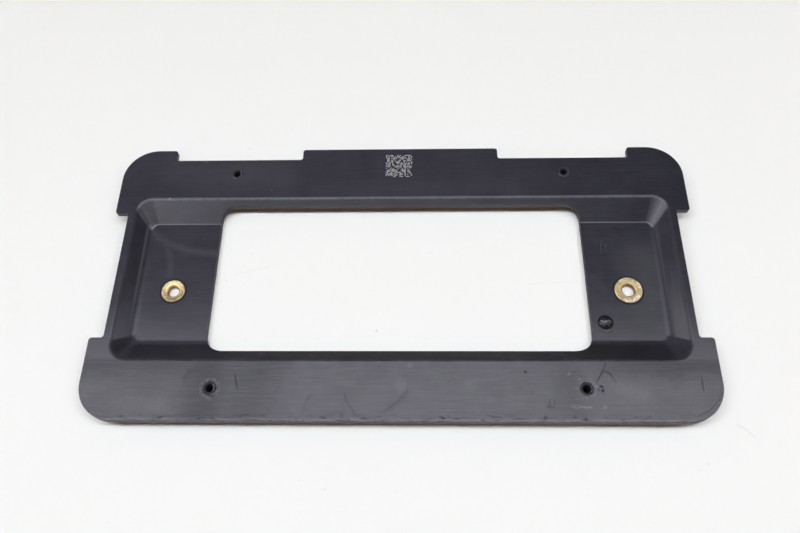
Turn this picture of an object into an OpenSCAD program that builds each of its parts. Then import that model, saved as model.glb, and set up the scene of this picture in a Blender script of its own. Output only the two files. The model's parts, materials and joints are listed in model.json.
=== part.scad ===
// Number plate holder: a flat moulded base for a 12 x 6 inch plate, with a dished
// recess, a large window, two flanged metal bushes and one small domed plug.
// Units are millimetres. The part lies on its back: z = 0 is the resting plane,
// +Z is the face that carries the plate, +Y is the notched upper edge.

/* [Outline] */
// overall length of the base, the length of the plate that it carries
plate_w = 304.8; // [200:0.1:520]
// overall height of the base
plate_h = 152.4; // [100:0.1:220]
// radius of the two large upper corners
corner_r = 18; // [6:0.5:30]
// radius of the two large lower corners
foot_corner_r = 19; // [6:0.5:30]
// how far the short sides step in between the upper ears and the lower bar
side_inset = 7.1; // [2:0.1:12]
// how far the underside of the upper ears lies below the upper fold of the recess
ear_drop = 8.9; // [2:0.1:20]
// how far the shoulder of the lower bar lies above the lower fold of the recess
bar_rise = 11.4; // [2:0.1:20]
// length of the top edge of each upper ear
ear_w = 28.2; // [20:0.1:50]
// width of the tab in the middle of the upper edge
tab_w = 107.3; // [40:0.1:160]
// depth of the two notches in the upper edge
notch_depth = 6.6; // [2:0.1:12]
// radius of the small outward corners
tip_r = 1.5; // [0.5:0.1:4]
// radius of the small inward corners
root_r = 1.5; // [0.5:0.1:3]
// width of the small bevel round the front edge
edge_bevel = 0.3; // [0.1:0.05:1]

/* [Wall] */
// thickness of the flange
flange_t = 3; // [2:0.1:5]
// thickness of the recess floor
floor_t = 2.6; // [1.6:0.1:5]
// thickness of the recess slopes, square to the slope
slope_t = 2.9; // [1.6:0.1:5]
// height of the resting pads under the recess floor
pad_h = 0.6; // [0.3:0.1:3]

/* [Recess] */
// depth of the recess below the front face
recess_depth = 8.1; // [4:0.1:14]
// width of the flat strip between the recess and each short side
side_strip = 4; // [2:0.1:10]
// height of the flat upper bar, from the upper edge to the recess
upper_bar = 31.4; // [20:0.1:45]
// height of the flat lower bar, from the lower edge to the recess
lower_bar = 30.1; // [20:0.1:45]
// plan width of the long upper and lower slopes
long_slope = 11.45; // [5:0.05:20]
// plan width of the short side slopes
short_slope = 6.6; // [3:0.05:20]
// radius of the upper recess corners at the front face
recess_r = 8; // [4:0.1:14]
// radius of the lower recess corners at the front face
recess_foot_r = 10; // [4:0.1:14]
// corner radius of the recess at its floor
recess_floor_r = 4.3; // [2:0.1:10]
// reach of the rounded fold at the front face, measured along the face
fold_reach = 0.9; // [0.3:0.05:1.6]
// reach of the rounded fold at the floor
floor_fold_reach = 0.5; // [0.2:0.05:0.6]
// reach of the rounded fold on the back of the floor
back_fold_reach = 1.15; // [0.4:0.05:1.4]

/* [Window] */
// width of each side panel of the recess, from its fold at the face to the window
panel_w = 44.8; // [30:0.1:80]
// how far the window edge lies down the upper slope from its fold at the face
window_top_gap = 3.3; // [1.5:0.1:10]
// how far the window edge lies up the lower slope from its fold at the face
window_foot_gap = 5.7; // [1.5:0.1:10]
// radius of the upper window corners
window_r = 8; // [2:0.1:20]
// radius of the lower window corners
window_foot_r = 10.5; // [2:0.1:20]

/* [Plate screws] */
// distance of each screw hole from the short end of the plate
screw_end_gap = 63.5; // [30:0.1:120]
// distance of each screw hole from the long edge of the plate
screw_edge_gap = 15.875; // [12:0.125:20]
// pilot bore for the plate screw
pilot_d = 3.6; // [2.5:0.1:6]
// depth of the blind pilot bore from the front face
pilot_depth = 9.4; // [5:0.1:12]
// diameter of the worn lead-in at the mouth of the pilot bore
lead_d = 4.3; // [3:0.1:8]
// depth of the lead-in
lead_depth = 0.5; // [0.2:0.05:2]
// outer diameter of the low raised ring round the mouth
ring_d = 6.5; // [4:0.1:10]
// width of the sloping outer side of the raised ring
ring_slope = 0.6; // [0.1:0.05:1.2]
// height of the raised ring above the front face
ring_h = 0.3; // [0.05:0.05:0.6]
// outer diameter of the screw boss on the back
boss_d = 8.6; // [6:0.1:14]
// thickness of the webs that tie each boss to the wall
web_t = 2; // [1:0.1:4]
// height of the side webs below the flange
web_h = 3.6; // [1:0.1:7]
// reach of the side webs from the boss centre
web_reach = 13; // [6:0.5:20]
// how far short of the window the web on the recess slope ends
web_stop = 1; // [0.5:0.1:4]

/* [Bushes] */
// distance of each bush from the short fold of the recess at the face
bush_in = 24.3; // [18:0.1:30]
// how far the bushes lie below the plate centre
bush_drop = 6.4; // [0:0.1:20]
// flange diameter of the left bush
left_flange_d = 12.3; // [9:0.1:18]
// bore diameter of the left bush
left_bore_d = 5.6; // [3:0.1:8]
// flange diameter of the right bush
right_flange_d = 14.1; // [9:0.1:18]
// bore diameter of the right bush
right_bore_d = 6.5; // [3:0.1:8]
// how much wider the bush body is than its bore
bush_wall = 3.2; // [2:0.1:6]
// thickness of the bush flange
bush_flange_t = 1.4; // [0.6:0.1:2]
// depth of the seat that takes the bush flange
bush_seat = 0.8; // [0.2:0.1:1]
// width of the chamfer at the mouth of the left bush
left_chamfer = 0.8; // [0.2:0.05:1.2]
// width of the chamfer at the mouth of the right bush
right_chamfer = 0.5; // [0.2:0.05:1.2]
// how deep the face of the left bush flange is dished
left_dish = 0.35; // [0.05:0.05:0.6]
// how deep the face of the right bush flange is dished
right_dish = 0.1; // [0.05:0.05:0.6]
// width of the flat rim round each dished face
rim_w = 0.45; // [0.1:0.05:1]
// width of the small chamfer round the rim of the bush flange
rim_chamfer = 0.25; // [0.1:0.05:0.5]
// diameter of the resting pad round each bush
pad_d = 22; // [14:0.1:26]
// radial clearance between the bush body and its hole
bush_clear = 0.05; // [0.02:0.01:0.3]
// radial clearance round the bush flange in its seat
seat_clear = 0.5; // [0.1:0.05:1]

/* [Plug] */
// distance of the plug centre from the edge of the window
plug_window_gap = 7; // [4.5:0.1:12]
// distance of the plug centre from the lower fold of the recess at the face
plug_fold_gap = 22.3; // [17:0.1:40]
// diameter of the domed head
plug_d = 6.8; // [4:0.1:10]
// height of the dome above the recess floor
plug_h = 2; // [0.5:0.1:4]
// diameter of the plug stem
plug_stem_d = 3.8; // [2:0.1:6]
// depth of the seat that takes the head
plug_seat = 0.5; // [0.2:0.1:1]
// radial clearance round the plug head
plug_clear = 0.35; // [0.1:0.05:1]
// radial clearance round the plug stem
stem_clear = 0.05; // [0.02:0.01:0.3]

/* [Hidden] */
fine = 96;
// straight steps in each quarter turn of the lofted recess corners
arc_steps = 8;
// height of the first facet of the fold at the face
fold_step = 0.06;
eps = 0.02;
half_w = plate_w / 2;
half_h = plate_h / 2;
floor_z = pad_h + floor_t;
face_z = floor_z + recess_depth;
under_z = face_z - flange_t;
side_x = half_w - side_inset;
notch_y = half_h - notch_depth;
notch_x = half_w - ear_w;
// the four folds of the recess at the front face
fold_x = side_x - side_strip;
upper_fold = half_h - upper_bar;
lower_fold = lower_bar - half_h;
recess_w = 2 * fold_x;
recess_h = upper_fold - lower_fold;
recess_mid = (upper_fold + lower_fold) / 2;
ear_under_y = upper_fold - ear_drop;
bar_shoulder_y = lower_fold + bar_rise;
window_x = fold_x - panel_w;
window_top = upper_fold - window_top_gap;
window_foot = lower_fold + window_foot_gap;
window_w = 2 * window_x;
window_h = window_top - window_foot;
// tangent of each slope, seen as plan width over depth
long_run = long_slope / recess_depth;
short_run = short_slope / recess_depth;
// sideways offset that keeps each slope at one thickness
long_shift = slope_t * sqrt(1 + long_run * long_run);
short_shift = slope_t * sqrt(1 + short_run * short_run);
bush_x = fold_x - bush_in;
bush_y = -bush_drop;
plug_x = window_x + plug_window_gap;
plug_y = lower_fold + plug_fold_gap;
screw_x = half_w - screw_end_gap;
screw_y = half_h - screw_edge_gap;
web_end_y = max(window_top, -window_foot) + web_stop;

// a square patch that turns the corner of two walls into a rounded root
module root_patch(x, y, sx, sy) {
    translate([x, y])
        mirror([sx < 0 ? 1 : 0, 0])
            mirror([0, sy < 0 ? 1 : 0])
                difference() {
                    translate([-eps, -eps])
                        square([root_r + eps, root_r + eps]);
                    translate([root_r, root_r])
                        circle(r = root_r, $fn = fine);
                }
}

// the sliver that lies outside a rounded outward corner at the origin,
// with the material towards -x and -y
module tip_sliver(r) {
    difference() {
        translate([-r, -r])
            square([r + eps, r + eps]);
        translate([-r, -r])
            circle(r = r, $fn = fine);
    }
}

module trim_corner(x, y, sx, sy, r) {
    translate([x, y])
        mirror([sx < 0 ? 1 : 0, 0])
            mirror([0, sy < 0 ? 1 : 0])
                tip_sliver(r);
}

// the outline of the flange seen from the front
module outline_2d() {
    difference() {
        translate([-half_w, -half_h])
            square([plate_w, plate_h]);
        for (s = [-1, 1]) {
            // stepped short sides
            translate([s > 0 ? side_x : -half_w - 1, bar_shoulder_y])
                square([side_inset + 1, ear_under_y - bar_shoulder_y]);
            // notches of the upper edge
            translate([s > 0 ? tab_w / 2 : -notch_x, notch_y])
                square([notch_x - tab_w / 2, notch_depth + 1]);
            // large corners
            trim_corner(s * half_w, half_h, s, 1, corner_r);
            trim_corner(s * half_w, -half_h, s, -1, foot_corner_r);
            // small outward corners
            trim_corner(s * half_w, ear_under_y, s, -1, tip_r);
            trim_corner(s * half_w, bar_shoulder_y, s, 1, tip_r);
            trim_corner(s * notch_x, half_h, -s, 1, tip_r);
            trim_corner(s * tab_w / 2, half_h, s, 1, tip_r);
        }
    }
    for (s = [-1, 1]) {
        root_patch(s * side_x, ear_under_y, s, -1);
        root_patch(s * side_x, bar_shoulder_y, s, 1);
        root_patch(s * tab_w / 2, notch_y, s, 1);
        root_patch(s * notch_x, notch_y, -s, 1);
    }
}

// a cutter for a straight stretch of the front edge, running along +X from the
// origin, with the outside of the plate towards +Y
module bevel_run(x, y, a, len) {
    m = edge_bevel;
    translate([x, y, face_z])
        rotate([0, 0, a])
            rotate([90, 0, 90])
                linear_extrude(height = len)
                    polygon([[-edge_bevel - m, m], [m, -edge_bevel - m], [m, m]]);
}

// a cutter for an outward corner of radius r, through a quarter turn from angle a
module bevel_tip(x, y, r, a) {
    m = edge_bevel;
    translate([x, y, face_z])
        rotate([0, 0, a])
            rotate_extrude(angle = 90, $fn = fine)
                polygon([[r - edge_bevel - m, m], [r + m, -edge_bevel - m], [r + m, m]]);
}

// a cutter for an inward corner of radius r, through a quarter turn from angle a
module bevel_root(x, y, r, a) {
    m = edge_bevel;
    translate([x, y, face_z])
        rotate([0, 0, a])
            rotate_extrude(angle = 90, $fn = fine)
                polygon([[r + edge_bevel + m, m], [r - m, -edge_bevel - m], [r - m, m]]);
}

// the bevel round the right half of the front edge
module bevel_half() {
    t = tip_r;
    q = root_r;
    c = corner_r;
    f = foot_corner_r;
    tx = tab_w / 2;
    eu = ear_under_y;
    bs = bar_shoulder_y;
    // middle tab
    bevel_run(0, half_h, 0, tx - t);
    bevel_tip(tx - t, half_h - t, t, 0);
    bevel_run(tx, half_h - t, -90, notch_depth - t - q);
    bevel_root(tx + q, notch_y + q, q, 180);
    // notch
    bevel_run(tx + q, notch_y, 0, notch_x - tx - 2 * q);
    bevel_root(notch_x - q, notch_y + q, q, 270);
    bevel_run(notch_x, notch_y + q, 90, notch_depth - t - q);
    bevel_tip(notch_x + t, half_h - t, t, 90);
    // ear
    bevel_run(notch_x + t, half_h, 0, ear_w - t - c);
    bevel_tip(half_w - c, half_h - c, c, 0);
    bevel_run(half_w, half_h - c, -90, half_h - c - eu - t);
    bevel_tip(half_w - t, eu + t, t, 270);
    bevel_run(half_w - t, eu, 180, side_inset - t - q);
    bevel_root(side_x + q, eu - q, q, 90);
    // short side
    bevel_run(side_x, eu - q, -90, eu - bs - 2 * q);
    bevel_root(side_x + q, bs + q, q, 180);
    // lower bar
    bevel_run(side_x + q, bs, 0, side_inset - t - q);
    bevel_tip(half_w - t, bs - t, t, 0);
    bevel_run(half_w, bs - t, -90, half_h + bs - t - f);
    bevel_tip(half_w - f, f - half_h, f, 270);
    bevel_run(half_w - f, -half_h, 180, half_w - f);
}

// radius of the arc that turns a face into a slope within the given reach
function arc_r(reach, run) = reach / tan(atan(1 / run) / 2);

// height of that arc
function arc_rise(reach, run) = arc_r(reach, run) * (1 - cos(atan(1 / run)));

// bulge of a circle of radius r at height u above its lowest point
function bulge(r, u) = sqrt(r * r - (r - u) * (r - u));

// plan position of the wall at depth d below the face, outward from the sharp fold
function lip_x(d, run) =
    d < 0 ? fold_reach - d * (fold_reach - lip_x(fold_step, run)) / fold_step :
    d < arc_rise(fold_reach, run) ? fold_reach - bulge(arc_r(fold_reach, run), d) :
    -d * run;

// plan position of the wall at height u above a floor whose sharp fold is at x
function foot_x(u, x, reach, run) =
    u < arc_rise(reach, run) ? x - reach + bulge(arc_r(reach, run), u) :
    x + u * run;

// radius of a recess corner that is r at the face, for a given plan position of both walls
function corner_at(r, xs, xl) = r + (r - recess_floor_r) * (xs + xl) / (short_slope + long_slope);

// one level of a loft: width, height, upper and lower corner radius, and z
function level(xs, xl, z) = [
    recess_w + 2 * xs,
    recess_h + 2 * xl,
    corner_at(recess_r, xs, xl),
    corner_at(recess_foot_r, xs, xl),
    z
];

function ring_points(w, h, upper_r, lower_r, z) = [
    for (k = [0:3])
        for (j = [0:arc_steps])
            let(
                a = 90 * (k + j / arc_steps),
                sx = k == 0 || k == 3 ? 1 : -1,
                sy = k < 2 ? 1 : -1,
                r = k < 2 ? upper_r : lower_r
            )
            [sx * (w / 2 - r) + r * cos(a), sy * (h / 2 - r) + r * sin(a) + recess_mid, z]
];

// a solid lofted through rounded rectangles, listed from the top down
module loft(levels) {
    n = 4 * (arc_steps + 1);
    m = len(levels);
    points = [for (l = levels) each ring_points(l[0], l[1], l[2], l[3], l[4])];
    sides = [
        for (i = [0:m - 2])
            for (j = [0:n - 1])
                let(k = (j + 1) % n)
                each [
                    [i * n + j, i * n + k, i * n + n + k],
                    [i * n + j, i * n + n + k, i * n + n + j]
                ]
    ];
    top = [for (j = [n - 1:-1:0]) j];
    bottom = [for (j = [0:n - 1]) (m - 1) * n + j];
    polyhedron(points = points, faces = concat([top], sides, [bottom]), convexity = 6);
}

// the front hollow, with its fold at the face and its fold at the floor rounded
module recess_hollow() {
    upper = [-fold_step, fold_step, 3.3 * fold_step, 6.7 * fold_step, 12 * fold_step];
    lower = [0.42, 0.2, 0.05, 0];
    loft(concat(
        [level(lip_x(-fold_step, short_run), lip_x(-fold_step, long_run), face_z + 1)],
        [for (d = upper) level(lip_x(d, short_run), lip_x(d, long_run), face_z - d)],
        [for (u = lower) level(
            foot_x(u, -short_slope, floor_fold_reach, short_run),
            foot_x(u, -long_slope, floor_fold_reach, long_run),
            floor_z + u)]
    ));
}

// the back of the dished recess, one wall thickness outside the hollow
module recess_back() {
    deep = recess_depth + floor_t;
    xs = short_shift - deep * short_run;
    xl = long_shift - deep * long_run;
    lift = deep - flange_t + 0.4;
    loft(concat(
        [level(xs + lift * short_run, xl + lift * long_run, pad_h + lift)],
        [for (u = [1, 0.6, 0.25, 0.06, 0]) level(
            foot_x(u, xs, back_fold_reach, short_run),
            foot_x(u, xl, back_fold_reach, long_run),
            pad_h + u)]
    ));
}

module window_cut() {
    translate([0, 0, -1])
        linear_extrude(height = face_z + 2)
            difference() {
                translate([-window_x, window_foot])
                    square([window_w, window_h]);
                for (s = [-1, 1]) {
                    trim_corner(s * window_x, window_top, s, 1, window_r);
                    trim_corner(s * window_x, window_foot, s, -1, window_foot_r);
                }
            }
}

// one blind screw boss with its webs, placed for the upper right corner
module screw_boss() {
    translate([screw_x, screw_y, 0]) {
        cylinder(d = boss_d, h = under_z + 0.5, $fn = fine);
        translate([-web_reach, -web_t / 2, under_z - web_h])
            cube([2 * web_reach, web_t, web_h + 0.5]);
        translate([-web_t / 2, web_end_y - screw_y, under_z - web_h])
            cube([web_t, screw_y - web_end_y, web_h + 0.5]);
    }
}

module screw_mouth() {
    translate([screw_x, screw_y, face_z - pilot_depth])
        cylinder(d = pilot_d, h = pilot_depth + 2, $fn = fine);
    translate([screw_x, screw_y, face_z - lead_depth])
        cylinder(d1 = pilot_d, d2 = 2 * lead_d - pilot_d, h = 2 * lead_depth, $fn = fine);
}

module four_ways() {
    for (a = [0, 1]) {
        for (b = [0, 1]) {
            mirror([a, 0, 0])
                mirror([0, b, 0])
                    children();
        }
    }
}

module base_plate() {
    color([0.13, 0.13, 0.14])
        difference() {
            union() {
                translate([0, 0, under_z])
                    linear_extrude(height = flange_t)
                        outline_2d();
                recess_back();
                four_ways()
                    screw_boss();
                for (s = [-1, 1]) {
                    translate([s * bush_x, bush_y, 0])
                        cylinder(d = pad_d, h = pad_h + 0.5, $fn = fine);
                }
                four_ways()
                    translate([screw_x, screw_y, face_z - ring_h])
                        cylinder(
                            d1 = ring_d + 2 * ring_slope,
                            d2 = ring_d - 2 * ring_slope,
                            h = 2 * ring_h,
                            $fn = fine
                        );
            }
            recess_hollow();
            window_cut();
            bevel_half();
            mirror([1, 0, 0])
                bevel_half();
            four_ways()
                screw_mouth();
            bush_hole(-bush_x, left_bore_d, left_flange_d);
            bush_hole(bush_x, right_bore_d, right_flange_d);
            // seat and hole of the plug
            translate([plug_x, plug_y, -1])
                cylinder(r = plug_stem_d / 2 + stem_clear, h = face_z, $fn = fine);
            translate([plug_x, plug_y, floor_z - plug_seat])
                cylinder(r = plug_d / 2 + plug_clear, h = recess_depth, $fn = fine);
        }
}

// hole and flange seat for one bush
module bush_hole(x, bore_d, flange_d) {
    translate([x, bush_y, -1])
        cylinder(r = (bore_d + bush_wall) / 2 + bush_clear, h = face_z, $fn = fine);
    translate([x, bush_y, floor_z - bush_seat])
        cylinder(r = flange_d / 2 + seat_clear, h = recess_depth, $fn = fine);
}

// a flanged bush turned from bar, its flange seated in the recess floor
module bush(x, bore_d, flange_d, chamfer, dish) {
    seat_z = floor_z - bush_seat;
    top_z = seat_z + bush_flange_t;
    body_r = (bore_d + bush_wall) / 2;
    bore_r = bore_d / 2;
    flange_r = flange_d / 2;
    dish_z = top_z - dish;
    translate([x, bush_y, 0])
        rotate_extrude($fn = fine)
            polygon([
                [bore_r, 0.3],
                [bore_r + 0.3, 0],
                [body_r - 0.3, 0],
                [body_r, 0.3],
                [body_r, seat_z],
                [flange_r, seat_z],
                [flange_r, top_z - rim_chamfer],
                [flange_r - rim_chamfer, top_z],
                [flange_r - rim_chamfer - rim_w, top_z],
                [bore_r + chamfer, dish_z],
                [bore_r, dish_z - chamfer]
            ]);
}

module left_bush() {
    color([0.78, 0.68, 0.42])
        bush(-bush_x, left_bore_d, left_flange_d, left_chamfer, left_dish);
}

module right_bush() {
    color([0.78, 0.68, 0.42])
        bush(bush_x, right_bore_d, right_flange_d, right_chamfer, right_dish);
}

// a push-in plug with a low domed head
module domed_plug() {
    seat_z = floor_z - plug_seat;
    lip = 0.5;
    rise = plug_seat + plug_h - lip;
    head_r = plug_d / 2;
    ball_r = (head_r * head_r + rise * rise) / (2 * rise);
    color([0.05, 0.05, 0.05])
        translate([plug_x, plug_y, 0]) {
            translate([0, 0, 0.15])
                cylinder(d = plug_stem_d, h = seat_z, $fn = fine);
            translate([0, 0, seat_z])
                cylinder(r = head_r, h = lip, $fn = fine);
            translate([0, 0, seat_z + lip])
                intersection() {
                    translate([0, 0, rise - ball_r])
                        sphere(r = ball_r, $fn = fine);
                    translate([0, 0, -eps])
                        cylinder(r = head_r, h = rise + 1, $fn = fine);
                }
        }
}

base_plate();
left_bush();
right_bush();
domed_plug();
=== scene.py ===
"""Looks of the number plate holder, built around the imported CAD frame.

The part lies face up on a pale table. Blender works in metres. The materials and the small
pieces are written in millimetres of the row frame, with x along the plate, y towards the
notched edge and z out of the face.
"""

import json
import math
import random

import bpy
from mathutils import Euler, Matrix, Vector


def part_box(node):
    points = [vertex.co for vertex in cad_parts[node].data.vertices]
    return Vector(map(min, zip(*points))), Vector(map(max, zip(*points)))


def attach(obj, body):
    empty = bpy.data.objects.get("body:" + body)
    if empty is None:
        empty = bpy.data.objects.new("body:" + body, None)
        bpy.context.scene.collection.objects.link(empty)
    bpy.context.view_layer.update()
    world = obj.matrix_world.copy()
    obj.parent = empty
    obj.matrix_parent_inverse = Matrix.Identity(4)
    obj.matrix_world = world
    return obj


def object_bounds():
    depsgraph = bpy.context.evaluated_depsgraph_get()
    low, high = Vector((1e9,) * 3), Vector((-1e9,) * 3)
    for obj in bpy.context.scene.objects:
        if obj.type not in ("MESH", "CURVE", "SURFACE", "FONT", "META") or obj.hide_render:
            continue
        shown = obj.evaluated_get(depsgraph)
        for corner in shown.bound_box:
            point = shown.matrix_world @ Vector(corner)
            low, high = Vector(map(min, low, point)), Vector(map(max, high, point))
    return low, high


MM = 0.001

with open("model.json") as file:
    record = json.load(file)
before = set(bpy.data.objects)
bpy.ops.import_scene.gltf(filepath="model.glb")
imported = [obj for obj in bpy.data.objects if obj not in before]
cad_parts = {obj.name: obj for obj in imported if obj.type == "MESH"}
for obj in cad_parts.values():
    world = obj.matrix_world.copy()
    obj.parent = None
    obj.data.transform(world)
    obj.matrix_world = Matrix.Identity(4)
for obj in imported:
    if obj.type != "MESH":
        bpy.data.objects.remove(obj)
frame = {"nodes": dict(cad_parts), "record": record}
cad_low, cad_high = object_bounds()


def centre_of(node):
    """Plan centre of a CAD node, in millimetres."""
    low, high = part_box(node)
    middle = (low + high) / 2 / MM
    return middle.x, middle.y


def radius_of(node):
    """Half the width of a round CAD node, in millimetres."""
    low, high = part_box(node)
    return (high.x - low.x) / 2 / MM


# Places on the part, in millimetres

MOUNTS = {mount["name"]: mount for mount in frame["record"]["mounts"]}
# the face that carries the plate, and the recess floor
FACE_Z = MOUNTS["plate_face"]["pos_m"][2] / MM
FLOOR_Z = 3.2
# the four screws of the plate, the two upper ones first
PATTERN = MOUNTS["plate_screws"]["dims"]
SCREW_X = PATTERN["spacing_x_mm"] / 2
SCREW_Y = PATTERN["spacing_y_mm"] / 2
SCREWS = [(sx * SCREW_X, sy * SCREW_Y) for sy in (1, -1) for sx in (-1, 1)]
# recess floor: its edge along x, and its edges towards the notches and the lower bar
FLOOR_EDGE = 134.7
FLOOR_HEAD = 33.35
FLOOR_FOOT = -34.65
# plan widths of the side slopes and of the long slopes, and the corner radii of the dish
SHORT_SLOPE = 6.6
LONG_SLOPE = 11.45
FLOOR_CORNER = 4.3
HEAD_CORNER = 8
FOOT_CORNER = 10
# all of the dish lies within this of the floor's edge
DISH_REACH = 12
# folds where the long slopes meet the face, and the front edge of the lower bar
UPPER_FOLD = FLOOR_HEAD + LONG_SLOPE
LOWER_FOLD = FLOOR_FOOT - LONG_SLOPE
LOWER_EDGE = cad_low.y / MM
# half widths over which the floor folds look rounded
SIDE_SOFT = 3.2
FOOT_SOFT = 1.6
HEAD_SOFT = 0.3
LEAST_SOFT = 0.01
# pieces that sit in the floor
SEATED = ("left_bush", "right_bush", "domed_plug")


# Node helpers

# sockets of a Mix node: first value, second value, result
NUMBER_SOCKETS = (2, 3, 0)
COLOUR_SOCKETS = (6, 7, 2)


class Graph:
    """A material whose nodes are added and linked by short calls."""

    def __init__(self, name):
        self.material = bpy.data.materials.new(name)
        self.material.use_nodes = True
        self.tree = self.material.node_tree
        self.shader = self.tree.nodes["Principled BSDF"]
        coords = self.tree.nodes.new("ShaderNodeTexCoord")
        self.point = self.scaled(coords.outputs["Object"], (1 / MM,) * 3)
        self.flat = self.scaled(self.point, (1, 1, 0))
        self.x, self.y, self.z = self.split(self.point)
        self.normal = coords.outputs["Normal"]
        self.nx, self.ny, self.nz = self.split(self.normal)

    def feed(self, socket, value):
        """Links the value if it is a socket, or else sets it."""
        if isinstance(value, bpy.types.NodeSocket):
            self.tree.links.new(value, socket)
        elif hasattr(socket.default_value, "__len__") and len(socket.default_value) == 4:
            socket.default_value = (*value[:3], 1)
        else:
            socket.default_value = value

    def math(self, operation, *values):
        node = self.tree.nodes.new("ShaderNodeMath")
        node.operation = operation
        for socket, value in zip(node.inputs, values):
            self.feed(socket, value)
        return node.outputs[0]

    def chain(self, operation, first, others):
        """The same two-value operation along a list of values."""
        for value in others:
            first = self.math(operation, first, value)
        return first

    def times(self, first, *others):
        return self.chain("MULTIPLY", first, others)

    def plus(self, first, *others):
        return self.chain("ADD", first, others)

    def most(self, first, *others):
        return self.chain("MAXIMUM", first, others)

    def least(self, first, *others):
        return self.chain("MINIMUM", first, others)

    def minus(self, first, second):
        return self.math("SUBTRACT", first, second)

    def without(self, mask):
        """1 where the mask is 0, and 0 where it is 1."""
        return self.minus(1, mask)

    def absolute(self, value):
        return self.math("ABSOLUTE", value)

    def vector(self, operation, *values, out=0):
        node = self.tree.nodes.new("ShaderNodeVectorMath")
        node.operation = operation
        for socket, value in zip(node.inputs, values):
            self.feed(socket, value)
        return node.outputs[out]

    def scaled(self, vector, factors):
        return self.vector("MULTIPLY", vector, factors)

    def stretched(self, vector, factor):
        """The vector times one number, which may come from another node."""
        node = self.tree.nodes.new("ShaderNodeVectorMath")
        node.operation = "SCALE"
        self.feed(node.inputs[0], vector)
        self.feed(node.inputs["Scale"], factor)
        return node.outputs[0]

    def joined(self, x, y, z):
        """A vector from three numbers."""
        node = self.tree.nodes.new("ShaderNodeCombineXYZ")
        for socket, value in zip(node.inputs, (x, y, z)):
            self.feed(socket, value)
        return node.outputs[0]

    def split(self, vector):
        node = self.tree.nodes.new("ShaderNodeSeparateXYZ")
        self.feed(node.inputs[0], vector)
        return node.outputs

    def noise(self, vector, scale, detail=3, roughness=0.55):
        node = self.tree.nodes.new("ShaderNodeTexNoise")
        self.feed(node.inputs["Vector"], vector)
        node.inputs["Scale"].default_value = scale
        node.inputs["Detail"].default_value = detail
        node.inputs["Roughness"].default_value = roughness
        return node.outputs[0]

    def drawn_noise(self, factors, detail, roughness=0.55):
        """Noise drawn out along the axes whose factors are small."""
        return self.noise(self.scaled(self.point, factors), 1.0, detail, roughness)

    def specks(self, pitch, size):
        """Small round specks of uneven size, about one in each square of side pitch."""
        node = self.tree.nodes.new("ShaderNodeTexVoronoi")
        self.feed(node.inputs["Vector"], self.flat)
        node.inputs["Scale"].default_value = 1 / pitch
        chance = self.split(node.outputs["Color"])[0]
        reach = self.times(chance, chance, chance, size / pitch)
        return self.ramp(node.outputs["Distance"], 0, reach, 1, 0)

    def ramp(self, value, low, high, to_low=0.0, to_high=1.0):
        """Runs from to_low to to_high in a smooth step, which stays in range unclamped."""
        node = self.tree.nodes.new("ShaderNodeMapRange")
        node.interpolation_type = "SMOOTHSTEP"
        node.clamp = False
        for name, number in (
            ("Value", value),
            ("From Min", low),
            ("From Max", high),
            ("To Min", to_low),
            ("To Max", to_high),
        ):
            self.feed(node.inputs[name], number)
        return node.outputs[0]

    def band(self, value, low, high, soft):
        """1 between low and high, fading to 0 over the length soft on both sides."""
        rise = self.ramp(value, low - soft, low)
        return self.times(rise, self.ramp(value, high, high + soft, 1, 0))

    def mix(self, factor, first, second):
        """The colour first where the factor is 0, and second where it is 1."""
        node = self.tree.nodes.new("ShaderNodeMix")
        node.data_type = "RGBA"
        first_socket, second_socket, result = COLOUR_SOCKETS
        self.feed(node.inputs[0], factor)
        self.feed(node.inputs[first_socket], first)
        self.feed(node.inputs[second_socket], second)
        return node.outputs[result]

    def layered(self, colour, layers):
        """The colour with others laid over it in turn, each (mask, colour)."""
        for mask, over in layers:
            colour = self.mix(mask, colour, over)
        return colour

    def away(self, centre):
        """Distance from a point of the plan."""
        return self.vector("DISTANCE", self.flat, (*centre, 0), out=1)

    def stroke_gap(self, start, end, plan):
        """Distance from the straight line between two points of the plan."""
        dx = end[0] - start[0]
        dy = end[1] - start[1]
        away = self.vector("SUBTRACT", plan, (*start, 0))
        along = self.vector("DOT_PRODUCT", away, (dx, dy, 0), out=1)
        share = self.math("DIVIDE", along, dx * dx + dy * dy)
        share = self.least(self.most(share, 0), 1)
        return self.vector("DISTANCE", away, self.stretched((dx, dy, 0), share), out=1)

    def marks(self, lines, wobble):
        """One mask for many soft lines and spots, each (points, half width, strength)."""
        shift = self.noise(self.flat, 0.35, 2)
        offset = self.math("MULTIPLY_ADD", shift, 2 * wobble, -wobble)
        plan = self.vector("ADD", self.flat, self.stretched((1, 1, 0), offset))
        total = None
        for points, width, strength in lines:
            if len(points) == 1:
                gap = self.vector("DISTANCE", plan, (*points[0], 0), out=1)
            else:
                gap = self.stroke_gap(points[0], points[1], plan)
                for start, end in zip(points[1:], points[2:]):
                    gap = self.least(gap, self.stroke_gap(start, end, plan))
            line = self.ramp(gap, 0, width, strength, 0)
            total = line if total is None else self.most(total, line)
        return total

    def bump(self, height, strength, distance=0.1, normal=None):
        """A normal bent by a height, over a distance in millimetres."""
        node = self.tree.nodes.new("ShaderNodeBump")
        node.inputs["Strength"].default_value = strength
        node.inputs["Distance"].default_value = distance * MM
        self.feed(node.inputs["Height"], height)
        if normal is not None:
            self.feed(node.inputs["Normal"], normal)
        return node.outputs[0]

    def shiny(self, level):
        """The same specular level all over, set on the shader's own socket."""
        self.shader.inputs["Specular IOR Level"].default_value = level

    def finish(self, **inputs):
        names = {"colour": "Base Color", "roughness": "Roughness", "metallic": "Metallic"}
        for key, value in inputs.items():
            self.feed(self.shader.inputs[names.get(key, key)], value)
        return self.material


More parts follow.
